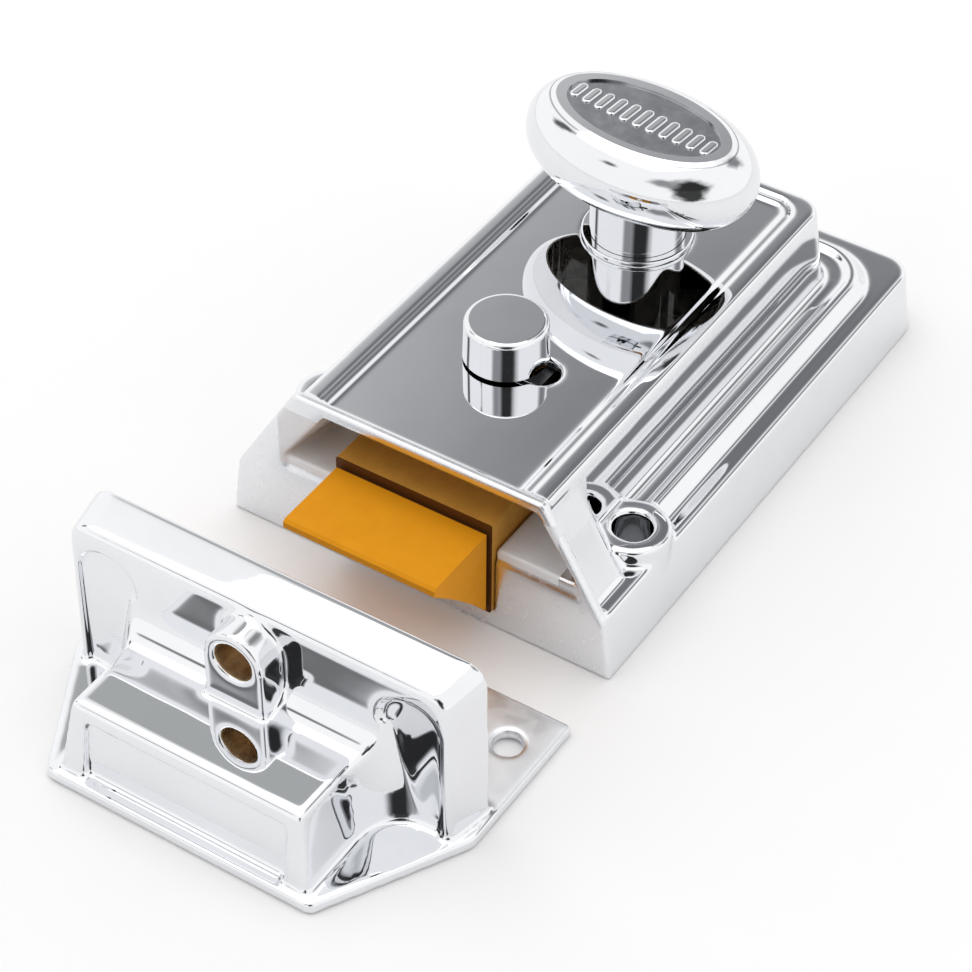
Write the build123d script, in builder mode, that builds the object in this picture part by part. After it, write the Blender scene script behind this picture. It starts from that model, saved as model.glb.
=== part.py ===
from build123d import *
import os

# Rim night latch with its keep. Units are millimetres.
# Origin: axis of the turn knob on the mounting face. +X is the way the bolt is thrown,
# +Z points into the room, away from the door.

os.makedirs("parts", exist_ok=True)

# ---------------------------------------------------------------- driving dimensions
# case
backset = 60.0
case_half_width = 32.5
case_rear = -35.9
case_draft = 7.4
shelf_height = 10.8
platform_height = 26.6
field_height = 26.1
roof_underside = 24.4
base_corner_radius = 6.0

# forend flange
forend_thickness = 1.7
forend_height = 27.3
forend_shoulder = 10.0
forend_shoulder_half = 31.1
forend_top_half = 20.8
mouth_floor = 15.0
mouth_back = 49.0
mouth_left = -22.9
mouth_lean = 0.7

# stepped band round the raised centre
ridge_half = 28.4
ridge_rear = -31.5
ridge_height = 12.9
trough_height = 12.2
hip_half = 21.6
hip_rear = -24.6
hip_top_half = 20.7
hip_top_rear = -21.3

# fixing bosses
boss_x = 43.5
boss_y = 25.8
boss_radius = 5.7
boss_height = 13.4
fixing_hole_radius = 2.9

# back plate
plate_thickness = 1.5
plate_front = 55.0
plate_rear = -32.7
plate_half = 28.6
plate_screw_spots = [(-26.5, 22.5), (-26.5, -22.5), (24.0, 24.5), (24.0, -24.5)]

# latch bolt
bolt_throw = 13.5
bolt_half_width = 12.6
bolt_bottom = 3.1
bolt_head_top = 18.6
bolt_body_half = 13.1
bolt_body_top = 20.0
bolt_shoulder = 60.5
bolt_tip = bolt_shoulder + bolt_throw
bolt_rear = 32.0
channel_gap = 0.12

# bolt tail
tail_bottom = 6.3
tail_top = 8.3
tail_rear = -10.0
tail_half = 15.5
lug_face = 4.45
lug_inner = 12.3

# return springs
spring_y = 10.6
spring_z = 14.0
guide_radius = 1.6
spring_mean_radius = 2.55
spring_wire = 0.35
abutment_x = 8.0

# turn knob
knob_turn = -5.0
knob_half_length = 19.3
knob_half_width = 12.4
knob_middle = 41.3
knob_rim = 6.3
knob_lip = 35.6
knob_sections = [knob_lip, 36.2, 37.2, 39.0, 41.3, 43.6, 45.4, 46.4, 47.0, 47.35]
shaft_radius = 7.3
bush_radius = 8.5
spindle_radius = 4.0
pin_z = 23.5
finger_reach = 13.0
finger_radius = 2.0

# snib
snib_x = 35.0
snib_y = -1.0
snib_travel = 6.0
snib_radius = 6.3
snib_top = 33.0
stem_radius = 2.5
tooth_x = 30.0

# keep, lying with its mouth down
keep_back = 90.2
keep_lip = 71.2
keep_half = 33.5
keep_front = 117.2
keep_front_half = 21.8
keep_flange = 1.8
keep_wall_front = 98.0
keep_wall_half = 32.3
keep_wall_front_half = 30.8
keep_wall_height = 28.7
keep_wall_front_height = 27.8
keep_box_top = 14.0
keep_box_half = 20.4
keep_cove_y = 27.2
keep_cove_radius = 6.7
keep_boss_z = 22.0
keep_boss_radius = 4.8


def rounded_plan(front, rear, half, radius):
    """Plan outline, square at the front and rounded at the two rear corners."""
    with BuildSketch() as plan:
        with Locations(((front + rear) / 2, 0)):
            Rectangle(front - rear, 2 * half)
        fillet(plan.vertices().group_by(Axis.X)[0], radius)
    return plan.sketch


def save(builder, name):
    builder.part.label = name
    export_step(builder.part, f"parts/{name}.step")


# ---------------------------------------------------------------- case
flange_back = backset - forend_thickness
flange_points = [
    (-case_half_width, 0),
    (case_half_width, 0),
    (forend_shoulder_half, forend_shoulder),
    (forend_top_half, forend_height),
    (-forend_top_half, forend_height),
    (-forend_shoulder_half, forend_shoulder),
]
nose_points = [
    (-29.4, 6.0),
    (29.4, 6.0),
    (29.4, forend_shoulder),
    (19.7, 26.2),
    (-19.7, 26.2),
    (-29.4, forend_shoulder),
]

with BuildPart() as case:
    # drafted base and its flat shelf
    with BuildSketch(Plane.XY):
        add(rounded_plan(backset - 0.1, case_rear, case_half_width, base_corner_radius))
    extrude(amount=shelf_height, taper=case_draft)
    rim_edges = case.faces().sort_by(Axis.Z)[-1].edges().filter_by(lambda e: e.center().X < 50)
    fillet(rim_edges, 0.7)
    # ridge running round three sides
    with BuildSketch(Plane.XY.offset(shelf_height - 0.3)):
        add(rounded_plan(flange_back + 0.5, ridge_rear, ridge_half, 10.5))
    with BuildSketch(Plane.XY.offset(ridge_height)):
        add(rounded_plan(flange_back + 0.5, ridge_rear + 2.2, ridge_half - 2.2, 8.3))
    loft(ruled=True)
    fillet(case.faces().sort_by(Axis.Z)[-1].edges().filter_by(lambda e: e.center().X < 50), 0.7)
    # trough inside the ridge
    with BuildSketch(Plane.XY.offset(trough_height)):
        add(rounded_plan(flange_back + 0.5, ridge_rear + 3.9, ridge_half - 3.9, 6.6))
    with BuildSketch(Plane.XY.offset(ridge_height + 0.4)):
        add(rounded_plan(flange_back + 0.5, ridge_rear + 2.9, ridge_half - 2.9, 7.6))
    loft(ruled=True, mode=Mode.SUBTRACT)
    # raised centre
    with BuildSketch(Plane.XY.offset(trough_height - 1.0)):
        add(rounded_plan(flange_back + 0.5, hip_rear, hip_half, 5.0))
    with BuildSketch(Plane.XY.offset(platform_height)):
        add(rounded_plan(flange_back + 0.5, hip_top_rear, hip_top_half, 4.0))
    loft(ruled=True)
    hip_foot = case.edges().filter_by_position(Axis.Z, trough_height - 0.05, trough_height + 0.05)
    fillet(hip_foot.filter_by(lambda e: abs(e.center().Y) < 22.4 and -25 < e.center().X < 50), 1.3)
    fillet(case.faces().sort_by(Axis.Z)[-1].edges().filter_by(lambda e: e.center().X < 50), 0.8)
    # nose behind the forend
    with BuildSketch(Plane.YZ.offset(flange_back + 0.2)):
        Polygon(*nose_points, align=None)
    extrude(amount=-7.5)
    with BuildSketch(Plane.YZ.offset(flange_back - 7.2)):
        Polygon(*nose_points, align=None)
    extrude(amount=-5.5, taper=44)
    # forend flange
    with BuildSketch(Plane.YZ.offset(flange_back)) as flange_plan:
        Polygon(*flange_points, align=None)
        corners = flange_plan.vertices().group_by(Axis.Y)
        fillet(corners[0].sort_by(Axis.X)[0], 2.0)
        fillet(flange_plan.vertices().group_by(Axis.Y)[-1], 1.2)
    extrude(amount=forend_thickness)
    # fixing bosses
    for side in (1, -1):
        with Locations((boss_x, side * boss_y, 0)):
            Cylinder(boss_radius, boss_height, align=(Align.CENTER, Align.CENTER, Align.MIN))
    boss_rims = case.edges().filter_by(GeomType.CIRCLE)
    boss_rims = boss_rims.filter_by(lambda e: abs(e.arc_center.Z - boss_height) < 0.01)
    fillet(boss_rims.filter_by(lambda e: abs(e.radius - boss_radius) < 0.01), 0.4)
    # platform field with a bead line
    with BuildSketch(Plane.XY.offset(platform_height + 0.1)):
        add(rounded_plan(flange_back, -19.2, 17.8, 4.0))
    extrude(amount=field_height - platform_height - 0.1, mode=Mode.SUBTRACT)
    with BuildSketch(Plane.XY.offset(field_height - 0.1)):
        add(rounded_plan(flange_back, -18.5, 17.1, 3.3))
        add(rounded_plan(flange_back + 1, -17.8, 16.4, 2.6), mode=Mode.SUBTRACT)
    extrude(amount=0.45)
    # hollow inside, open to the door side
    with BuildSketch(Plane.XY):
        add(rounded_plan(plate_front + 0.2, plate_rear - 0.2, plate_half + 0.2, 4.0))
    extrude(amount=plate_thickness + 0.1, mode=Mode.SUBTRACT)
    with BuildSketch(Plane.XY):
        add(rounded_plan(46.5, plate_rear - 0.2, plate_half + 0.2, 4.0))
    extrude(amount=9.0, mode=Mode.SUBTRACT)
    with BuildSketch(Plane.XY.offset(8.5)):
        add(rounded_plan(46.5, -19.3, 18.8, 3.0))
    extrude(amount=roof_underside - 8.5, mode=Mode.SUBTRACT)
    # posts for the fixing screws and the plate screws
    for side in (1, -1):
        with Locations((boss_x, side * boss_y, plate_thickness + 0.1)):
            Cylinder(4.9, 9.0, align=(Align.CENTER, Align.CENTER, Align.MIN))
    with Locations(*[(x, y, plate_thickness + 0.1) for x, y in plate_screw_spots]):
        Cylinder(3.4, 8.0, align=(Align.CENTER, Align.CENTER, Align.MIN))
    with Locations(*[(x, y, 0) for x, y in plate_screw_spots]):
        Cylinder(1.45, 8.4, align=(Align.CENTER, Align.CENTER, Align.MIN), mode=Mode.SUBTRACT)
    with Locations((boss_x, boss_y, -1), (boss_x, -boss_y, -1)):
        Cylinder(
            fixing_hole_radius, 16, align=(Align.CENTER, Align.CENTER, Align.MIN), mode=Mode.SUBTRACT
        )
    # open mouth in the forend
    with BuildSketch(Plane.YZ.offset(backset + 0.1)):
        Polygon(
            (mouth_left, mouth_floor),
            (27.0, mouth_floor),
            (20.0, 25.5),
            (mouth_left + 10.5 * mouth_lean, 25.5),
            align=None,
        )
    with BuildSketch(Plane.YZ.offset(mouth_back)):
        Polygon(
            (mouth_left + 2.2, mouth_floor),
            (20.4, mouth_floor),
            (18.8, roof_underside),
            (mouth_left + 2.2 + 9.4 * mouth_lean, roof_underside),
            align=None,
        )
    loft(ruled=True, mode=Mode.SUBTRACT)
    # bolt channel, with a relief slot beside the bolt
    with BuildSketch(Plane.YZ.offset(45)):
        with Locations((0, (bolt_bottom + bolt_body_top) / 2)):
            Rectangle(
                2 * (bolt_body_half + channel_gap), bolt_body_top - bolt_bottom + 2 * channel_gap
            )
    extrude(amount=16, mode=Mode.SUBTRACT)
    with BuildSketch(Plane.YZ.offset(45)):
        with Locations((0, 18.2)):
            SlotOverall(35.0, 4.2)
    extrude(amount=5, mode=Mode.SUBTRACT)
    # shallow rebate under the mouth
    with BuildSketch(Plane.YZ.offset(backset - 0.4)):
        with Locations((2.1, mouth_floor - 1.1)):
            Rectangle(50.0, 2.4)
    extrude(amount=1, mode=Mode.SUBTRACT)
    # knob bearing and snib slot through the roof
    with Locations((0, 0, roof_underside)):
        Cylinder(11.0, 4.0, align=(Align.CENTER, Align.CENTER, Align.MAX))
    Cylinder(8.05, 30, align=(Align.CENTER, Align.CENTER, Align.MIN), mode=Mode.SUBTRACT)
    with BuildSketch(Plane.XY.offset(roof_underside - 1)):
        with Locations((snib_x, snib_y + snib_travel / 2)):
            SlotOverall(snib_travel + 2 * stem_radius + 0.6, 2 * stem_radius + 0.4, rotation=90)
    extrude(amount=4, mode=Mode.SUBTRACT)
    # threaded posts for the spring abutment
    with Locations((abutment_x + 4.1, 15.4, roof_underside), (abutment_x + 4.1, -15.4, roof_underside)):
        Cylinder(2.6, 3.4, align=(Align.CENTER, Align.CENTER, Align.MAX))
        Cylinder(
            1.05, 3.5, align=(Align.CENTER, Align.CENTER, Align.MAX), mode=Mode.SUBTRACT
        )
save(case, "case")

# ---------------------------------------------------------------- back plate and its screws
with BuildPart() as back_plate:
    with BuildSketch(Plane.XY):
        add(rounded_plan(plate_front, plate_rear, plate_half, 3.9))
    extrude(amount=plate_thickness)
    with Locations((boss_x, boss_y, -1), (boss_x, -boss_y, -1)):
        Cylinder(3.1, 4, align=(Align.CENTER, Align.CENTER, Align.MIN), mode=Mode.SUBTRACT)
    Cylinder(8.35, 4, align=(Align.CENTER, Align.CENTER, Align.CENTER), mode=Mode.SUBTRACT)
    with Locations(*[Location((x, y, 0), (180, 0, 0)) for x, y in plate_screw_spots]):
        CounterSinkHole(1.6, 2.9, depth=4, counter_sink_angle=90)
save(back_plate, "back_plate")

with BuildPart() as plate_screws:
    for x, y in plate_screw_spots:
        with BuildSketch(Plane.XZ.offset(-y)) as profile:
            with BuildLine():
                Polyline(
                    (x, 0.05),
                    (x + 2.7, 0.05),
                    (x + 1.4, 1.35),
                    (x + 1.4, 7.6),
                    (x + 0.9, 8.1),
                    (x, 8.1),
                    close=True,
                )
            make_face()
        revolve(axis=Axis((x, y, 0), (0, 0, 1)))
        with Locations((x, y, 0)):
            Box(3.6, 0.6, 0.6, align=(Align.CENTER, Align.CENTER, Align.MIN), mode=Mode.SUBTRACT)
            Box(0.6, 3.6, 0.6, align=(Align.CENTER, Align.CENTER, Align.MIN), mode=Mode.SUBTRACT)
save(plate_screws, "plate_screws")

# ---------------------------------------------------------------- latch bolt
with BuildPart() as latch_bolt:
    with BuildSketch(Plane.XZ) as head_profile:
        with BuildLine():
            Polyline(
                (bolt_shoulder - 2, bolt_head_top),
                (bolt_tip - 0.5, bolt_head_top),
                (bolt_tip, bolt_head_top - 0.4),
                (bolt_tip, bolt_head_top - 1.4),
            )
            ThreePointArc(
                (bolt_tip, bolt_head_top - 1.4),
                (bolt_tip - 7.1, 10.5),
                (bolt_shoulder, bolt_bottom),
            )
            Polyline(
                (bolt_shoulder, bolt_bottom),
                (bolt_shoulder - 2, bolt_bottom),
                (bolt_shoulder - 2, bolt_head_top),
            )
        make_face()
    extrude(amount=bolt_half_width, both=True)
    with BuildSketch(Plane.XZ):
        with Locations(((bolt_rear + bolt_shoulder) / 2, (bolt_bottom + bolt_body_top) / 2)):
            Rectangle(bolt_shoulder - bolt_rear, bolt_body_top - bolt_bottom)
    extrude(amount=bolt_body_half, both=True)
    fillet(latch_bolt.edges().filter_by(Axis.X).filter_by(lambda e: e.center().X < 55), 0.4)
    # relief groove where the head leaves the body
    with BuildSketch(Plane.YZ.offset(bolt_shoulder)):
        with Locations((0, 11.0)):
            Rectangle(30, 20)
            Rectangle(2 * (bolt_half_width - 0.35), 14.5, mode=Mode.SUBTRACT)
    extrude(amount=0.5, mode=Mode.SUBTRACT)
    # slot for the tail
    with Locations((bolt_rear + 3, 0, (tail_bottom + tail_top) / 2)):
        Box(8.2, 24.4, tail_top - tail_bottom + 0.04, mode=Mode.SUBTRACT)
    with Locations((bolt_rear + 3.6, 8, 0), (bolt_rear + 3.6, -8, 0)):
        Cylinder(1.5, 30, mode=Mode.SUBTRACT)
    # seats for the spring guides
    with Locations(*[(bolt_rear, y, spring_z) for y in (spring_y, -spring_y)]):
        Cylinder(guide_radius, 12, rotation=(0, 90, 0), mode=Mode.SUBTRACT)
    # groove and hold-back notch for the snib tooth
    with BuildSketch(Plane.XY.offset(bolt_body_top)):
        with Locations((bolt_rear + 7.9, snib_y)):
            Rectangle(16.2, 4.8)
        with Locations((tooth_x + bolt_throw, snib_y + 3.2)):
            Rectangle(4.0, 9.6)
    extrude(amount=-3.8, mode=Mode.SUBTRACT)
save(latch_bolt, "latch_bolt")

with BuildPart() as bolt_tail:
    with BuildSketch(Plane.XY.offset(tail_bottom)):
        with Locations(((tail_rear + 24) / 2, 0)):
            Rectangle(24 - tail_rear, 2 * tail_half)
        with Locations((28.5, 0)):
            Rectangle(17, 24)
        with Locations((7.0, 0)):
            SlotOverall(26.5, 13.0, mode=Mode.SUBTRACT)
    extrude(amount=tail_top - tail_bottom)
    for side in (1, -1):
        with Locations((lug_face - 1.25, side * (lug_inner + tail_half) / 2, tail_bottom + 0.2)):
            Box(2.5, tail_half - lug_inner, 3.4, align=(Align.CENTER, Align.CENTER, Align.MAX))
    with Locations((bolt_rear + 3.6, 8, 0), (bolt_rear + 3.6, -8, 0)):
        Cylinder(1.5, 30, mode=Mode.SUBTRACT)
save(bolt_tail, "bolt_tail")

with BuildPart() as bolt_rivets:
    for side in (1, -1):
        with Locations((bolt_rear + 3.6, side * 8, bolt_bottom + 0.3)):
            Cylinder(1.5, 8.6, align=(Align.CENTER, Align.CENTER, Align.MIN))
save(bolt_rivets, "bolt_rivets")

with BuildPart() as spring_guides:
    for side in (1, -1):
        with Locations((bolt_rear + 6, side * spring_y, spring_z)):
            Cylinder(
                guide_radius, 33, rotation=(0, 90, 0), align=(Align.CENTER, Align.CENTER, Align.MAX)
            )
    chamfer(spring_guides.faces().sort_by(Axis.X)[:2].edges(), 0.4)
save(spring_guides, "spring_guides")

spring_length = bolt_rear - abutment_x - 2.1
with BuildPart() as bolt_springs:
    for side in (1, -1):
        with BuildLine() as coil:
            Helix(
                pitch=(spring_length - 2 * spring_wire) / 8,
                height=spring_length - 2 * spring_wire,
                radius=spring_mean_radius,
                center=(abutment_x + 2.05 + spring_wire, side * spring_y, spring_z),
                direction=(1, 0, 0),
            )
        with BuildSketch(Plane(origin=coil.line @ 0, z_dir=coil.line % 0)):
            Circle(spring_wire)
        sweep(path=coil.line, is_frenet=True)
save(bolt_springs, "bolt_springs")

# ---------------------------------------------------------------- spring abutment
with BuildPart() as spring_abutment:
    with BuildSketch(Plane.YZ.offset(abutment_x)):
        with Locations((0, 15.2)):
            Rectangle(34.0, 11.0)
        with Locations((0, 15.2)):
            Rectangle(15.6, 11.2, mode=Mode.SUBTRACT)
        with Locations((0, 10.4)):
            Rectangle(34.0, 1.4)
        with Locations((spring_y, spring_z), (-spring_y, spring_z)):
            Circle(guide_radius + 0.2, mode=Mode.SUBTRACT)
    extrude(amount=2)
    with Locations((abutment_x + 3.1, 14.5, 20.0), (abutment_x + 3.1, -14.5, 20.0)):
        Box(6.2, 5.0, 1.0, align=(Align.CENTER, Align.CENTER, Align.MIN))
    with Locations((abutment_x + 4.1, 15.4, 20), (abutment_x + 4.1, -15.4, 20)):
        Cylinder(1.05, 4, mode=Mode.SUBTRACT)
save(spring_abutment, "spring_abutment")

with BuildPart() as abutment_screws:
    for side in (1, -1):
        with Locations((abutment_x + 4.1, side * 15.4, 20.0)):
            Cylinder(1.0, 4.0, align=(Align.CENTER, Align.CENTER, Align.MIN))
            Cylinder(1.6, 1.1, align=(Align.CENTER, Align.CENTER, Align.MAX))
        with Locations((abutment_x + 4.1, side * 15.4, 18.9)):
            Box(3.6, 0.5, 0.4, align=(Align.CENTER, Align.CENTER, Align.MIN), mode=Mode.SUBTRACT)
save(abutment_screws, "abutment_screws")

# ---------------------------------------------------------------- knob and what turns with it
with BuildPart() as knob:
    # rounded oval head, drawn as a stack of ellipses
    for height in knob_sections:
        inset = knob_rim - (knob_rim**2 - (height - knob_middle) ** 2) ** 0.5
        with BuildSketch(Plane.XY.offset(height)):
            Ellipse(knob_half_width - inset, knob_half_length - inset, rotation=knob_turn)
    loft()
    # hollow underside
    with BuildSketch(Plane.XY.offset(knob_lip - 0.1)):
        Ellipse(knob_half_width - 3.9, knob_half_length - 3.9, rotation=knob_turn)
    extrude(amount=44.2 - knob_lip, mode=Mode.SUBTRACT)
    # oval field in the top
    with BuildSketch(Plane.XY.offset(47.0)):
        Ellipse(6.6, 13.0, rotation=knob_turn)
    extrude(amount=3, mode=Mode.SUBTRACT)
    # shaft
    with Locations((0, 0, 17.0)):
        Cylinder(shaft_radius, 28.5, align=(Align.CENTER, Align.CENTER, Align.MIN))
    with Locations((0, 0, 16.9)):
        Cylinder(spindle_radius, 19.1, align=(Align.CENTER, Align.CENTER, Align.MIN), mode=Mode.SUBTRACT)
    with BuildSketch(Plane.XY.offset(18.6)):
        Circle(shaft_radius + 1)
        Circle(shaft_radius - 0.9, mode=Mode.SUBTRACT)
    extrude(amount=1.0, mode=Mode.SUBTRACT)
    with Locations((0, 0, pin_z)):
        Cylinder(1.0, 20, rotation=(90, 0, 0), mode=Mode.SUBTRACT)
save(knob, "knob")

with BuildPart() as knob_bush:
    with Locations((0, 0, 20.3)):
        Cylinder(8.0, 6.0, align=(Align.CENTER, Align.CENTER, Align.MIN))
    with Locations((0, 0, field_height)):
        Cylinder(bush_radius, 0.9, align=(Align.CENTER, Align.CENTER, Align.MIN))
    fillet(knob_bush.faces().sort_by(Axis.Z)[-1].edges(), 0.3)
    Cylinder(shaft_radius + 0.08, 80, mode=Mode.SUBTRACT)
save(knob_bush, "knob_bush")

with BuildPart() as thrust_washer:
    with Locations((0, 0, 19.65)):
        Cylinder(10.2, 0.55, align=(Align.CENTER, Align.CENTER, Align.MIN))
        Cylinder(
            shaft_radius + 0.05, 0.6, align=(Align.CENTER, Align.CENTER, Align.MIN), mode=Mode.SUBTRACT
        )
save(thrust_washer, "thrust_washer")

with BuildPart() as knob_circlip:
    with BuildSketch(Plane.XY.offset(18.65)):
        Circle(9.2)
        Circle(shaft_radius - 0.9, mode=Mode.SUBTRACT)
        with Locations((-8, 0)):
            Rectangle(8, 5, mode=Mode.SUBTRACT)
    extrude(amount=0.9)
save(knob_circlip, "knob_circlip")

with BuildPart() as spindle:
    with Locations((0, 0, 2.0)):
        Cylinder(spindle_radius, 33.8, align=(Align.CENTER, Align.CENTER, Align.MIN))
    with BuildSketch(Plane.XY.offset(2.0)):
        Rectangle(10, 10)
        Rectangle(5.6, 5.6, mode=Mode.SUBTRACT)
    extrude(amount=4.0, mode=Mode.SUBTRACT)
    with Locations((0, 0, pin_z)):
        Cylinder(1.0, 20, rotation=(90, 0, 0), mode=Mode.SUBTRACT)
save(spindle, "spindle")

with BuildPart() as knob_pin:
    with Locations((0, 0, pin_z)):
        Cylinder(1.0, 2 * shaft_radius - 0.4, rotation=(90, 0, 0))
save(knob_pin, "knob_pin")

with BuildPart() as cam:
    with BuildSketch(Plane.XY.offset(3.0)):
        Circle(6.6)
        for angle in (60, -60):
            with Locations(Location((0, 0), angle)):
                with Locations((finger_reach / 2, 0)):
                    Rectangle(finger_reach, 2 * finger_radius)
                with Locations((finger_reach, 0)):
                    Circle(finger_radius)
        Rectangle(5.6, 5.6, mode=Mode.SUBTRACT)
    extrude(amount=2.8)
save(cam, "cam")

with BuildPart() as follower:
    with Locations((0, 0, 0.2)):
        Cylinder(8.3, 1.4, align=(Align.CENTER, Align.CENTER, Align.MIN))
    with Locations((0, 0, 1.6)):
        Cylinder(10.4, 1.3, align=(Align.CENTER, Align.CENTER, Align.MIN))
    # blind slot for the cylinder's flat bar
    with Locations((0, 0, 0)):
        Box(11.0, 2.6, 1.8, align=(Align.CENTER, Align.CENTER, Align.MIN), mode=Mode.SUBTRACT)
        Box(2.6, 11.0, 1.8, align=(Align.CENTER, Align.CENTER, Align.MIN), mode=Mode.SUBTRACT)
    with Locations((0, 0, 2.0)):
        Box(5.6, 5.6, 2.0, align=(Align.CENTER, Align.CENTER, Align.MIN), mode=Mode.SUBTRACT)
save(follower, "follower")

with BuildPart() as cam_spring:
    with BuildLine(Plane.XY.offset(9.6)) as torsion_coil:
        Helix(pitch=1.4, height=5.6, radius=5.4)
    with BuildSketch(Plane(origin=torsion_coil.line @ 0, z_dir=torsion_coil.line % 0)):
        Circle(0.5)
    sweep(path=torsion_coil.line, is_frenet=True)
save(cam_spring, "cam_spring")

# ---------------------------------------------------------------- snib
with BuildPart() as snib_button:
    with BuildSketch(Plane.XZ.offset(-snib_y)):
        with BuildLine():
            Polyline(
                (snib_x, 21.4),
                (snib_x + 1.9, 21.4),
                (snib_x + 1.9, 22.25),
                (snib_x + stem_radius, 22.25),
                (snib_x + stem_radius, field_height + 0.5),
                (snib_x + snib_radius, field_height + 0.5),
                (snib_x + snib_radius - 0.15, snib_top),
                (snib_x, snib_top),
                close=True,
            )
        make_face()
    revolve(axis=Axis((snib_x, snib_y, 0), (0, 0, 1)))
    fillet(snib_button.faces().sort_by(Axis.Z)[-1].edges(), 0.8)
save(snib_button, "snib_button")

with BuildPart() as snib_slide:
    with BuildSketch(Plane.XY.offset(22.3)):
        with Locations((34.8, snib_y)):
            Rectangle(12.6, 13.0)
        with Locations((snib_x, snib_y)):
            Circle(stem_radius + 0.02, mode=Mode.SUBTRACT)
    extrude(amount=1.9)
    with Locations((tooth_x, snib_y, 22.5)):
        Box(2.8, 4.0, 5.9, align=(Align.CENTER, Align.CENTER, Align.MAX))
save(snib_slide, "snib_slide")

with BuildPart() as snib_clip:
    with BuildSketch(Plane.XY.offset(21.55)):
        with Locations((snib_x, snib_y)):
            Circle(3.4)
            Circle(1.92, mode=Mode.SUBTRACT)
        with Locations((snib_x + 3.5, snib_y)):
            Rectangle(4, 2.4, mode=Mode.SUBTRACT)
    extrude(amount=0.65)
save(snib_clip, "snib_clip")

# ---------------------------------------------------------------- keep
keep_plan = [
    (keep_back, -keep_half),
    (95.9, -keep_half),
    (keep_front, -keep_front_half),
    (keep_front, keep_front_half),
    (95.9, keep_half),
    (keep_back, keep_half),
]

with BuildPart() as keep:
    # flange round the box and lip beyond the back face
    with BuildSketch(Plane.XY) as flange_outline:
        Polygon(*keep_plan, align=None)
        fillet(flange_outline.vertices().group_by(Axis.X)[-1], 2.0)
        fillet(flange_outline.vertices().group_by(Axis.X)[1], 3.0)
        with Locations(((keep_lip + keep_back) / 2 + 0.5, 0)):
            Rectangle(keep_back - keep_lip + 1.0, 2 * keep_half)
    extrude(amount=keep_flange, taper=6)
    # deep back wall, drawn in on every side towards its front
    with BuildSketch(Plane.YZ.offset(keep_back)) as wall_rear:
        Polygon(
            (-keep_wall_half, 0),
            (keep_wall_half, 0),
            (keep_wall_half - 0.3, keep_wall_height),
            (-keep_wall_half + 0.3, keep_wall_height),
            align=None,
        )
        fillet(wall_rear.vertices().group_by(Axis.Y)[-1], 3.6)
    with BuildSketch(Plane.YZ.offset(keep_wall_front)) as wall_face:
        Polygon(
            (-keep_wall_front_half, 0),
            (keep_wall_front_half, 0),
            (keep_wall_front_half - 0.3, keep_wall_front_height),
            (-keep_wall_front_half + 0.3, keep_wall_front_height),
            align=None,
        )
        fillet(wall_face.vertices().group_by(Axis.Y)[-1], 3.0)
    loft(ruled=True)
    wall_front = keep.faces().filter_by(Axis.X)
    wall_front = wall_front.filter_by(lambda f: abs(f.center().X - keep_wall_front) < 0.01)
    fillet(wall_front.edges().filter_by(lambda e: e.center().Z > 10), 1.3)
    # arched niches at both ends of the wall
    for side in (1, -1):
        with BuildSketch(Plane.YZ.offset(keep_wall_front)) as niche:
            with Locations((side * 24.6, keep_flange + 11.5)):
                Rectangle(10.2, 23.0)
            fillet(niche.vertices().group_by(Axis.Y)[-1], 4.8)
        extrude(amount=-0.9, taper=25, mode=Mode.SUBTRACT)
    # box for the bolt, coved into the wall on three sides
    with BuildPart(mode=Mode.PRIVATE) as box:
        with BuildSketch(Plane.XY.offset(keep_flange - 0.2)):
            with Locations(((94.5 + 115.6) / 2, 0)):
                Rectangle(115.6 - 94.5, 2 * keep_box_half)
            for side in (1, -1):
                with Locations(((94.5 + 104.0) / 2, side * (keep_cove_y + 18) / 2)):
                    Rectangle(104.0 - 94.5, keep_cove_y - 18)
                with Locations((104.0, side * keep_cove_y)):
                    Circle(keep_cove_radius, mode=Mode.SUBTRACT)
        extrude(amount=17.0, taper=8)
        with BuildSketch(Plane.XZ):
            with BuildLine():
                Polyline((90, 0), (120, 0), (120, keep_box_top), (102.6, keep_box_top))
                RadiusArc((102.6, keep_box_top), (98.0, keep_box_top + 4.6), 4.6)
                Polyline((98.0, keep_box_top + 4.6), (90, keep_box_top + 4.6), (90, 0))
            make_face()
        extrude(amount=40, both=True, mode=Mode.INTERSECT)
        box_top = box.faces().filter_by(Axis.Z)
        box_top = box_top.filter_by(lambda f: abs(f.center().Z - keep_box_top) < 0.01)
        fillet(box_top.edges().filter_by(Axis.Y).sort_by(Axis.X)[-1], 1.2)
    add(box.part)
    # sunk panel on the front
    with BuildSketch(Plane.XZ):
        Polygon((114.2, keep_flange), (119, keep_flange), (119, 11.3), (112.9, 11.3), align=None)
    extrude(amount=16.4, both=True, mode=Mode.SUBTRACT)
    # lug for the screw into the frame, straight sided below its round top
    with BuildSketch(Plane.YZ.offset(keep_wall_front - 2)):
        with Locations((0, keep_boss_z)):
            Circle(keep_boss_radius)
        with Locations((0, keep_boss_z - 4.5)):
            Rectangle(2 * keep_boss_radius, 9.0)
    extrude(amount=6.6)
    # bolt pocket open at the mouth
    with Locations(((92.0 + 110.8) / 2, 0, -0.1)):
        Box(18.8, 32.0, 12.5, align=(Align.CENTER, Align.CENTER, Align.MIN), mode=Mode.SUBTRACT)
    # screw holes
    with Locations((80, 0, keep_boss_z)):
        Cylinder(
            3.0, 40, rotation=(0, 90, 0), align=(Align.CENTER, Align.CENTER, Align.MIN),
            mode=Mode.SUBTRACT,
        )
    with Locations((78.9, 27.8, -1), (78.9, -27.8, -1)):
        Cylinder(2.2, 4, align=(Align.CENTER, Align.CENTER, Align.MIN), mode=Mode.SUBTRACT)
save(keep, "keep")
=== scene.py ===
import math

import bmesh
import bpy
from mathutils import Matrix, Vector


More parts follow.
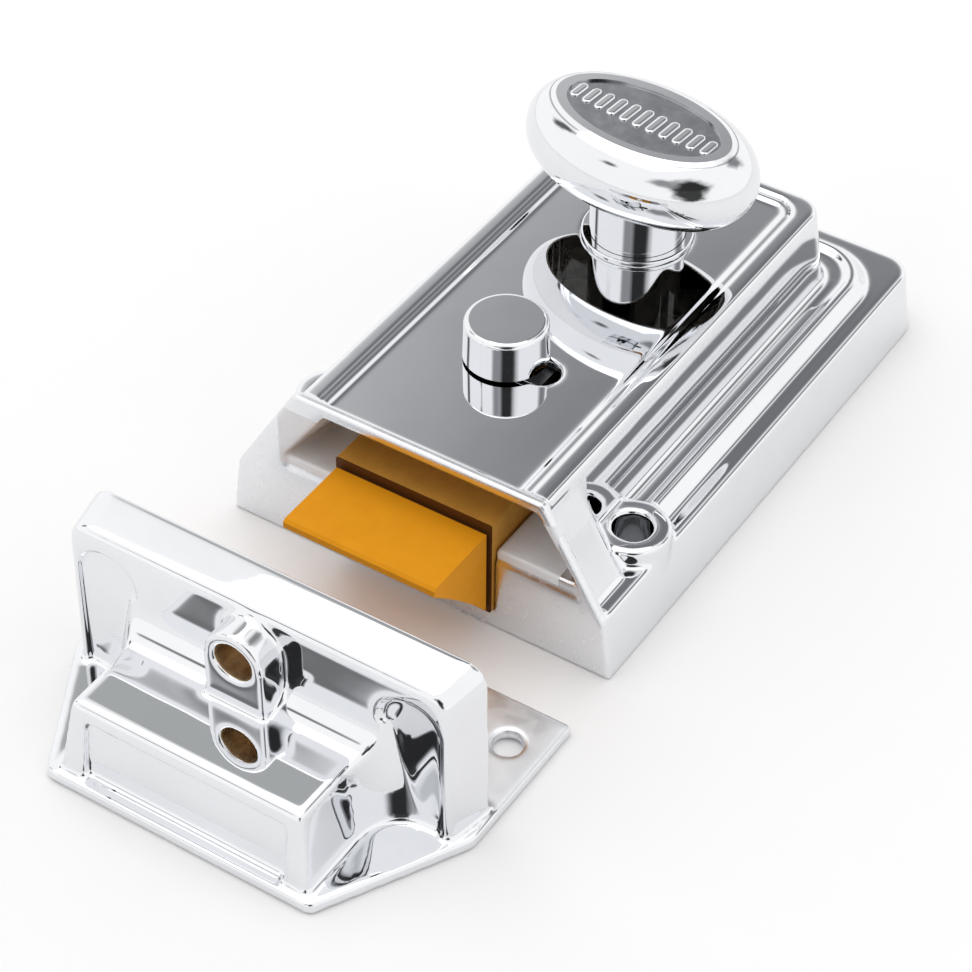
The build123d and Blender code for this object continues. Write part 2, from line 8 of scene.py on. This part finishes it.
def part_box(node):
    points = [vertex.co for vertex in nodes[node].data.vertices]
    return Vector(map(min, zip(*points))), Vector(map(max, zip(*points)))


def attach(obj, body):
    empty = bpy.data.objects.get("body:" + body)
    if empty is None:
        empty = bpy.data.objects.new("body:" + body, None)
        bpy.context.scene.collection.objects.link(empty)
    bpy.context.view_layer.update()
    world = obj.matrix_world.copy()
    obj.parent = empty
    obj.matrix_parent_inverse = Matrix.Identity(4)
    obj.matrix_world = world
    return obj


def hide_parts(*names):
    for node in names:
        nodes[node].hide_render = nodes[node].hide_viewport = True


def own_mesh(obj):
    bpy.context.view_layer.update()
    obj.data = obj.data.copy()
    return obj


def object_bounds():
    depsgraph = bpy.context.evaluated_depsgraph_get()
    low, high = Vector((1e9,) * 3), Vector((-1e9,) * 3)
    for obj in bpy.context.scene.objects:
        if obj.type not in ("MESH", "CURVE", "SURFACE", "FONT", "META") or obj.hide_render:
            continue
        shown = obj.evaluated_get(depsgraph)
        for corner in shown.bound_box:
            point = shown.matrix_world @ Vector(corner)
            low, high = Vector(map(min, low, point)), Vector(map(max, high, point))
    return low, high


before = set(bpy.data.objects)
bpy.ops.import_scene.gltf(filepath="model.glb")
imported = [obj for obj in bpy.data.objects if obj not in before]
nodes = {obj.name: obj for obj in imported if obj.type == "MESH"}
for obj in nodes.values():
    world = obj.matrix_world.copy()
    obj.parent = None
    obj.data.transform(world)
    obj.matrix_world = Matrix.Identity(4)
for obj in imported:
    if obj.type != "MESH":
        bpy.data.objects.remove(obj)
cad_low, cad_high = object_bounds()


# ---------------------------------------------------------------- dimensions, in metres
FOREND_X = 0.0587
MOUTH_BACK_X = 0.0485
MOUTH_BOTTOM_Z = 0.0135
MOUTH_TOP_Z = 0.0243
MOUTH_HALF_WIDTH = 0.0235
LIP_END_X = 0.0898
LUG_BORE_Z = 0.022
LUG_BORE_RADIUS = 0.00304
BOLT_SHOULDER_X = 0.0605
# offset from the shoulder and half width of the painted shade line at the bolt head's root
BOLT_ROOT_SHADE_OFFSET = 0.0002
BOLT_ROOT_SHADE_HALF = 0.00035
KNOB_FIELD_Z = 0.047
KNOB_FIELD_DEPTH = 0.00035
KNOB_FIELD_HALF_WIDTH = 0.0076
RIB_COUNT_EACH_SIDE = 5
RIB_PITCH = 0.00232
RIB_HALF_WIDTH = 0.00078
RIB_HALF_LENGTH = 0.00235
RIB_HEIGHT = 0.0004
RIB_SUNK = 0.0001
KNOB_LEAN = math.radians(-5.0)
WIRE_RADIUS = 0.00035
SPRING_TURNS = 8


# ---------------------------------------------------------------- node helpers
class Nodes:
    """A node tree with short ways to link nodes and to do sums."""

    tree = None

    def link(self, source, target):
        self.tree.links.new(source, target)

    def math(self, operation, *values):
        node = self.tree.nodes.new("ShaderNodeMath")
        node.operation = operation
        for socket, value in zip(node.inputs, values):
            if isinstance(value, float):
                socket.default_value = value
            else:
                self.link(value, socket)
        return node.outputs[0]

    def mix(self, factor, first, second):
        """Mixes two colours, each a tuple or a socket."""
        node = self.tree.nodes.new("ShaderNodeMix")
        node.data_type = "RGBA"
        self.link(factor, node.inputs["Factor"])
        for socket, value in ((6, first), (7, second)):
            if isinstance(value, tuple):
                node.inputs[socket].default_value = (*value, 1.0)
            else:
                self.link(value, node.inputs[socket])
        return node.outputs[2]


class Finish(Nodes):
    """A node material built round one Principled shader, with object coordinates in metres."""

    def __init__(self, name, **sockets):
        self.material = bpy.data.materials.new(name)
        self.material.use_nodes = True
        self.tree = self.material.node_tree
        self.shader = self.tree.nodes["Principled BSDF"]
        for socket, value in sockets.items():
            self.shader.inputs[socket.replace("_", " ")].default_value = value
        self.coords = self.tree.nodes.new("ShaderNodeTexCoord")
        self.height = None

    def axes(self):
        """The object coordinates as separate X, Y and Z."""
        split = self.tree.nodes.new("ShaderNodeSeparateXYZ")
        self.link(self.coords.outputs["Object"], split.inputs["Vector"])
        return split.outputs

    def now(self, socket):
        """What drives a shader socket so far."""
        return self.shader.inputs[socket].links[0].from_socket

    def drive(self, socket, source):
        self.link(source, self.shader.inputs[socket])

    def noise(self, scale, detail=3.0, roughness=0.5, stretch=(1, 1, 1)):
        mapping = self.tree.nodes.new("ShaderNodeMapping")
        mapping.inputs["Scale"].default_value = stretch
        self.link(self.coords.outputs["Object"], mapping.inputs["Vector"])
        node = self.tree.nodes.new("ShaderNodeTexNoise")
        node.inputs["Scale"].default_value = scale
        node.inputs["Detail"].default_value = detail
        node.inputs["Roughness"].default_value = roughness
        self.link(mapping.outputs["Vector"], node.inputs["Vector"])
        return node.outputs["Fac"]

    def remap(self, source, low, high, from_low=0.3, from_high=0.7):
        """Stretches a noise value to a range."""
        node = self.tree.nodes.new("ShaderNodeMapRange")
        node.inputs["From Min"].default_value = from_low
        node.inputs["From Max"].default_value = from_high
        node.inputs["To Min"].default_value = low
        node.inputs["To Max"].default_value = high
        self.link(source, node.inputs["Value"])
        return node.outputs["Result"]

    def blend(self, factor, first, second):
        """Mixes two plain values."""
        node = self.tree.nodes.new("ShaderNodeMix")
        self.link(factor, node.inputs["Factor"])
        self.link(first, node.inputs["A"])
        self.link(second, node.inputs["B"])
        return node.outputs["Result"]

    def bump(self, source, distance):
        """Adds relief on top of the relief already there."""
        node = self.tree.nodes.new("ShaderNodeBump")
        node.inputs["Strength"].default_value = 1.0
        node.inputs["Distance"].default_value = distance
        self.link(source, node.inputs["Height"])
        if self.height is not None:
            self.link(self.height, node.inputs["Normal"])
        self.height = node.outputs["Normal"]
        self.link(self.height, self.shader.inputs["Normal"])


# ---------------------------------------------------------------- materials
PLATE = (0.83, 0.84, 0.86)
DULL_PLATE = tuple(0.95 * c for c in PLATE)


def chrome(name, ripple):
    """Chrome plate: faint smears, hairlines from polishing and the slow ripple of a casting."""
    finish = Finish(name, Metallic=1.0)
    smears = finish.noise(55.0, 4.0, 0.6)
    hairlines = finish.noise(900.0, 2.0, 0.5, stretch=(0.06, 1.0, 1.0))
    finish.drive("Base Color", finish.mix(finish.remap(smears, 0.0, 1.0), PLATE, DULL_PLATE))
    finish.drive("Roughness", finish.remap(smears, 0.015, 0.05))
    finish.bump(finish.noise(95.0, 1.0, 0.4), ripple)
    finish.bump(hairlines, 2.5e-7)
    return finish


def case_chrome(name):
    """Chrome whose forend face is satin and whose bolt mouth is left as cast."""
    finish = chrome(name, 2.2e-5)
    x, y, z = finish.axes()
    face = finish.math("GREATER_THAN", x, FOREND_X)
    mouth = finish.math("GREATER_THAN", x, MOUTH_BACK_X)
    for within in (
        finish.math("LESS_THAN", z, MOUTH_TOP_Z),
        finish.math("GREATER_THAN", z, MOUTH_BOTTOM_Z),
        finish.math("LESS_THAN", finish.math("ABSOLUTE", y), MOUTH_HALF_WIDTH),
    ):
        mouth = finish.math("MULTIPLY", mouth, within)
    satin = finish.remap(finish.noise(420.0, 4.0, 0.6), 0.20, 0.30)
    cast = finish.remap(finish.noise(1500.0, 4.0, 0.7), 0.30, 0.55)
    outside = finish.blend(face, finish.now("Roughness"), satin)
    finish.drive("Roughness", finish.blend(mouth, outside, cast))
    finish.drive("Metallic", finish.math("MULTIPLY_ADD", mouth, -0.85, 1.0))
    finish.bump(finish.math("MULTIPLY", finish.noise(1600.0, 4.0, 0.7), mouth), 9e-5)
    return finish


def keep_chrome(name):
    """Chrome with a satin lip and a bare, browned bore in the screw lug."""
    finish = chrome(name, 4.5e-5)
    x, y, z = finish.axes()
    height = finish.math("SUBTRACT", z, LUG_BORE_Z)
    squares = (finish.math("MULTIPLY", height, height), finish.math("MULTIPLY", y, y))
    reach = finish.math("SQRT", finish.math("ADD", *squares))
    bore = finish.math("LESS_THAN", reach, LUG_BORE_RADIUS)
    lip = finish.math("LESS_THAN", x, LIP_END_X)
    stains = finish.remap(finish.noise(700.0, 5.0, 0.7), 0.0, 1.0)
    brown = finish.mix(stains, (0.76, 0.60, 0.40), (0.50, 0.36, 0.20))
    finish.drive("Base Color", finish.mix(bore, finish.now("Base Color"), brown))
    satin = finish.remap(finish.noise(420.0, 4.0, 0.6), 0.28, 0.40)
    bare = finish.remap(finish.noise(900.0), 0.35, 0.5)
    outside = finish.blend(lip, finish.now("Roughness"), satin)
    finish.drive("Roughness", finish.blend(bore, outside, bare))
    return finish


def knob_chrome(name):
    """Chrome with duller plating in the knob's sunk field and raw metal on its underside."""
    finish = chrome(name, 3e-5)
    x, y, z = finish.axes()
    sunk = finish.math("COMPARE", z, KNOB_FIELD_Z, 0.00006)
    across = finish.math("LESS_THAN", finish.math("ABSOLUTE", x), KNOB_FIELD_HALF_WIDTH)
    field = finish.math("MULTIPLY", sunk, across)
    dull = finish.remap(finish.noise(350.0, 4.0, 0.6), 0.0, 1.0)
    grey = finish.mix(dull, (0.36, 0.37, 0.39), (0.46, 0.47, 0.49))
    surface = finish.tree.nodes.new("ShaderNodeNewGeometry")
    facing = finish.tree.nodes.new("ShaderNodeSeparateXYZ")
    finish.link(surface.outputs["Normal"], facing.inputs["Vector"])
    down = finish.math("LESS_THAN", facing.outputs["Z"], -0.9)
    scale = finish.remap(finish.noise(320.0, 5.0, 0.7), 0.0, 1.0)
    raw = finish.mix(scale, (0.16, 0.14, 0.11), (0.07, 0.065, 0.055))
    outside = finish.mix(field, finish.now("Base Color"), grey)
    finish.drive("Base Color", finish.mix(down, outside, raw))
    finish.drive("Metallic", finish.math("MULTIPLY_ADD", down, -0.8, 1.0))
    worn = finish.remap(finish.noise(900.0), 0.14, 0.24)
    finish.drive("Roughness", finish.blend(field, finish.now("Roughness"), worn))
    return finish


def steel(name, colour, low=0.25, high=0.4):
    """Plain machined metal with cloudy patches and a fine grain."""
    finish = Finish(name, Metallic=1.0)
    patches = finish.noise(180.0, 5.0, 0.6)
    shade = tuple(0.75 * c for c in colour)
    finish.drive("Base Color", finish.mix(finish.remap(patches, 0.0, 1.0), colour, shade))
    finish.drive("Roughness", finish.remap(patches, low, high))
    finish.bump(finish.noise(900.0, 3.0, 0.6), 4e-6)
    return finish


def amber(name):
    """Matt lacquer over brass: fine mottling, drag marks along the throw, painted shade on the body
    behind the shoulder and a painted shade line at the head's root.
    """
    finish = Finish(name, Metallic=0.3, Specular_IOR_Level=0.2)
    x, y, z = finish.axes()
    mottle = finish.remap(finish.noise(260.0, 5.0, 0.65), 0.0, 1.0)
    drag = finish.remap(finish.noise(500.0, 3.0, 0.5, stretch=(0.08, 1.0, 1.0)), 0.0, 1.0)
    worn = finish.mix(mottle, (0.80, 0.325, 0.004), (0.72, 0.285, 0.004))
    head = finish.mix(drag, worn, (0.76, 0.305, 0.006))
    # painted shade: the body behind the shoulder gets a darker, duller copy of the head's orange,
    # standing in for the shade under the forend's roof
    body = finish.mix(mottle, (0.62, 0.30, 0.05), (0.52, 0.25, 0.04))
    shaded_behind_shoulder = finish.math("LESS_THAN", x, BOLT_SHOULDER_X)
    # painted shade: a dark brown band just past the shoulder stands in for the shadow in the groove at
    # the head's root
    painted_root_shade = finish.math("COMPARE", x, BOLT_SHOULDER_X + BOLT_ROOT_SHADE_OFFSET, BOLT_ROOT_SHADE_HALF)
    colour = finish.mix(shaded_behind_shoulder, head, body)
    finish.drive("Base Color", finish.mix(painted_root_shade, colour, (0.10, 0.035, 0.006)))
    finish.drive("Roughness", finish.remap(mottle, 0.5, 0.62, 0.0, 1.0))
    finish.bump(finish.noise(1400.0, 3.0, 0.6), 4e-6)
    finish.bump(drag, 1.5e-6)
    return finish


finishes = {
    "chrome": chrome("polished_chrome", 3e-5),
    "case": case_chrome("case_chrome"),
    "keep": keep_chrome("keep_chrome"),
    "bolt_brass": amber("amber_bolt"),
    "knob": knob_chrome("knob_chrome"),
    "brass": steel("dull_brass", (0.62, 0.43, 0.16)),
    "plated_steel": steel("plated_steel", (0.55, 0.56, 0.58)),
    "bright_steel": steel("bright_steel", (0.62, 0.62, 0.63), 0.15, 0.3),
}
looks = {name: finish.material for name, finish in finishes.items()}
for name, node in nodes.items():
    for index, material_slot in enumerate(node.material_slots):
        kind = material_slot.material.name.split(".")[0]
        look = looks.get(name) or looks.get(kind) or looks["chrome"]
        node.material_slots[index].material = look


# ---------------------------------------------------------------- pieces built as meshes
def piece(name, builder, material, body):
    """Turns a bmesh into a piece that rides on a body."""
    mesh = bpy.data.meshes.new(name)
    bmesh.ops.recalc_face_normals(builder, faces=builder.faces)
    builder.to_mesh(mesh)
    builder.free()
    mesh.materials.append(material)
    made = bpy.data.objects.new(name, mesh)
    bpy.context.scene.collection.objects.link(made)
    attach(made, body)
    return made


def stack(builder, outlines):
    """Skins a closed solid over outlines with equal counts, capped at both ends."""
    rings = [[builder.verts.new(point) for point in outline] for outline in outlines]
    for lower, upper in zip(rings, rings[1:]):
        count = len(lower)
        for i in range(count):
            j = (i + 1) % count
            builder.faces.new((lower[i], lower[j], upper[j], upper[i]))
    builder.faces.new(list(reversed(rings[0])))
    builder.faces.new(rings[-1])


def add_rib(builder, centre, half_width, half_length, foot, height, angle):
    """A raised pad with rounded ends and a softly crowned top."""
    outlines = []
    for rise_share, spread in ((0.0, 1.0), (0.55, 0.97), (0.8, 0.88), (0.95, 0.70), (1.0, 0.45)):
        outline = []
        for step in range(24):
            turn = 2 * math.pi * step / 24
            x = half_width * spread * math.cos(turn)
            y = (half_length - half_width) * (1 if math.sin(turn) >= 0 else -1)
            y += half_width * spread * math.sin(turn)
            outline.append(
                (
                    centre.x + x * math.cos(angle) - y * math.sin(angle),
                    centre.y + x * math.sin(angle) + y * math.cos(angle),
                    foot + height * rise_share,
                )
            )
        outlines.append(outline)
    stack(builder, outlines)


def add_coil(builder, start, length, radius, wire, turns):
    """A round-wire coil along +X with closed, tapered ends."""
    steps = 28 * turns
    outlines = []
    for step in range(steps + 1):
        share = step / steps
        turn = 2 * math.pi * turns * share
        squeeze = min(1.0, min(share, 1 - share) * turns)
        centre = Vector(
            (
                start.x + wire + (length - 2 * wire) * share,
                start.y + radius * math.cos(turn),
                start.z + radius * math.sin(turn),
            )
        )
        out = Vector((0, math.cos(turn), math.sin(turn)))
        ahead = Vector((1, 0, 0))
        girth = wire * (0.75 + 0.25 * squeeze)
        outlines.append(
            [
                centre + girth * (math.cos(t) * out + math.sin(t) * ahead)
                for t in (2 * math.pi * k / 10 for k in range(10))
            ]
        )
    stack(builder, outlines)


def soften(name, body, voxel, passes):
    """A copy of a die-cast node with its hard edges eased, as plating and polishing leave them."""
    source = nodes[name]
    mesh = source.data.copy()
    mesh.transform(source.matrix_world)
    mesh.name = name + "_soft"
    made = bpy.data.objects.new(name + "_soft", mesh)
    bpy.context.scene.collection.objects.link(made)
    grid = made.modifiers.new("grid", "REMESH")
    grid.mode = "VOXEL"
    grid.voxel_size = voxel
    grid.use_smooth_shade = True
    ease = made.modifiers.new("ease", "SMOOTH")
    ease.factor = 0.5
    ease.iterations = passes
    bpy.context.view_layer.update()
    eased = made.evaluated_get(bpy.context.evaluated_depsgraph_get())
    result = bpy.data.meshes.new_from_object(eased)
    made.modifiers.clear()
    made.data = result
    result.materials.clear()
    result.materials.append(source.material_slots[0].material)
    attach(made, body)
    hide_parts(name)


soften("keep", "keep", 0.0003, 26)
soften("case", "lock_case", 0.00032, 9)

# raised ribs in the knob's oval field
rib_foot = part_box("knob")[1].z - KNOB_FIELD_DEPTH - RIB_SUNK
rib_angle = KNOB_LEAN + math.radians(90)
row = bmesh.new()
for index in range(-RIB_COUNT_EACH_SIDE, RIB_COUNT_EACH_SIDE + 1):
    along = RIB_PITCH * index
    spot = Vector((-math.sin(KNOB_LEAN) * along, math.cos(KNOB_LEAN) * along, 0))
    length = RIB_HALF_LENGTH * (1.0 - 0.22 * (index / RIB_COUNT_EACH_SIDE) ** 2)
    add_rib(row, spot, RIB_HALF_WIDTH, length, rib_foot, RIB_HEIGHT, rib_angle)
piece("knob_ribs", row, looks["chrome"], "turn_knob")


# bolt springs, standing on the abutment
coil_low, coil_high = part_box("bolt_springs")
springs = bmesh.new()
middle = (coil_low.z + coil_high.z) / 2
coil_radius = (coil_high.z - coil_low.z) / 2 - WIRE_RADIUS
coil_length = coil_high.x - coil_low.x
for side in (1, -1):
    start = Vector((coil_low.x, side * (coil_high.y - coil_radius - WIRE_RADIUS), middle))
    add_coil(springs, start, coil_length, coil_radius, WIRE_RADIUS, SPRING_TURNS)
coils = piece("bolt_coils", springs, looks["bright_steel"], "lock_case")
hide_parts("bolt_springs")
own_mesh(coils)

# ---------------------------------------------------------------- floor, light and camera
FLOOR_GAP = 0.0001
mesh = bpy.data.meshes.new("floor")
builder = bmesh.new()
bmesh.ops.create_grid(builder, x_segments=8, y_segments=8, size=3.0)
builder.to_mesh(mesh)
builder.free()
floor = bpy.data.objects.new("floor", mesh)
bpy.context.scene.collection.objects.link(floor)
floor.location.z = cad_low.z - FLOOR_GAP
paper = Finish("pale_floor", Roughness=0.9)
paper.shader.inputs["Base Color"].default_value = (0.93, 0.925, 0.925, 1.0)
mesh.materials.append(paper.material)


class Sky(Nodes):
    """A light tent as world nodes: white all round, with soft patches given by direction and angle."""

    def __init__(self, strength):
        world = bpy.data.worlds.new("studio")
        bpy.context.scene.world = world
        world.use_nodes = True
        self.tree = world.node_tree
        self.background = self.tree.nodes["Background"]
        self.background.inputs["Strength"].default_value = strength
        self.coords = self.tree.nodes.new("ShaderNodeTexCoord")
        self.ripples = self.tree.nodes.new("ShaderNodeTexNoise")
        self.ripples.inputs["Scale"].default_value = 5.0
        self.link(self.coords.outputs["Generated"], self.ripples.inputs["Vector"])
        self.colour = (1.0, 1.0, 1.0)

    def vector(self, operation, source, value=None):
        node = self.tree.nodes.new("ShaderNodeVectorMath")
        node.operation = operation
        self.link(source, node.inputs[0])
        if value is not None:
            node.inputs[1].default_value = value
        return node

    def patch(self, direction, inner, outer, colour, stretch=(1, 1, 1), ragged=0.0):
        """A patch round a direction, full inside inner degrees and gone at outer degrees."""
        heading = Vector(direction).normalized()
        offset = self.vector("SUBTRACT", self.coords.outputs["Generated"], heading)
        scaled = self.vector("MULTIPLY", offset.outputs["Vector"], stretch)
        length = self.vector("LENGTH", scaled.outputs["Vector"])
        wobble = self.math("MULTIPLY_ADD", self.ripples.outputs["Fac"], ragged, -0.5 * ragged)
        distance = self.math("ADD", length.outputs["Value"], wobble)
        share = self.tree.nodes.new("ShaderNodeMapRange")
        share.interpolation_type = "SMOOTHSTEP"
        share.inputs["From Min"].default_value = math.radians(inner)
        share.inputs["From Max"].default_value = math.radians(outer)
        share.inputs["To Min"].default_value = 1.0
        share.inputs["To Max"].default_value = 0.0
        self.link(distance, share.inputs["Value"])
        self.colour = self.mix(share.outputs["Result"], self.colour, colour)
        self.link(self.colour, self.background.inputs["Color"])


sky = Sky(1.12)
sky.patch((-0.656, -0.256, 0.710), 4.0, 23.6, (0.17, 0.175, 0.185))
sky.patch((-0.52, -0.44, 0.73), 3.0, 4.6, (0.40, 0.41, 0.41), ragged=0.12)
sky.patch((0.62, 0.42, 0.55), 11.0, 26.0, (0.03, 0.03, 0.03), ragged=0.25)
sky.patch((0.72, 0.10, 0.62), 5.0, 14.0, (0.30, 0.30, 0.31), ragged=0.2)
sky.patch((0.55, -0.42, 0.66), 0.5, 5.0, (0.20, 0.20, 0.20), stretch=(1, 1, 0.4), ragged=0.15)
sky.patch((0.05, -0.75, 0.66), 3.0, 8.0, (0.12, 0.12, 0.12), stretch=(1, 1, 0.5), ragged=0.15)
sky.patch((-0.60, 0.35, 0.66), 5.0, 18.0, (0.25, 0.25, 0.26), stretch=(1, 1, 0.6), ragged=0.2)
sky.patch((0.70, 0.50, 0.25), 9.0, 20.0, (0.05, 0.05, 0.05), ragged=0.25)

lamp = bpy.data.lights.new("overhead", "AREA")
lamp.shape = "RECTANGLE"
lamp.size = 1.0
lamp.size_y = 0.8
lamp.energy = 2.2
overhead = bpy.data.objects.new("overhead", lamp)
bpy.context.scene.collection.objects.link(overhead)
overhead.location = (-0.1, -0.25, 1.1)
aim = Vector(overhead.location) - Vector((0.04, 0, 0))
overhead.rotation_euler = aim.to_track_quat("Z", "Y").to_euler()

azimuth = math.radians(122.611)
elevation = math.radians(42.845)
roll = math.radians(0.509)
distance = 0.445855
target = Vector((0.035832, -0.003686, 0.0))
back = Vector(
    (
        math.sin(azimuth) * math.cos(elevation),
        -math.cos(azimuth) * math.cos(elevation),
        math.sin(elevation),
    )
)
level = Vector((0, 0, 1)).cross(back).normalized()
rise = back.cross(level)
right = math.cos(roll) * level + math.sin(roll) * rise
up = -math.sin(roll) * level + math.cos(roll) * rise
camera = bpy.data.objects.new("camera", bpy.data.cameras.new("camera"))
bpy.context.scene.collection.objects.link(camera)
turn = Matrix((right, up, back)).transposed().to_4x4()
camera.matrix_world = Matrix.Translation(target + distance * back) @ turn
camera.data.sensor_width = 36.0
camera.data.lens = 110.53
camera.data.clip_start = 0.01
camera.data.clip_end = 20.0
bpy.context.scene.camera = camera
bpy.context.scene.view_settings.view_transform = "Standard"
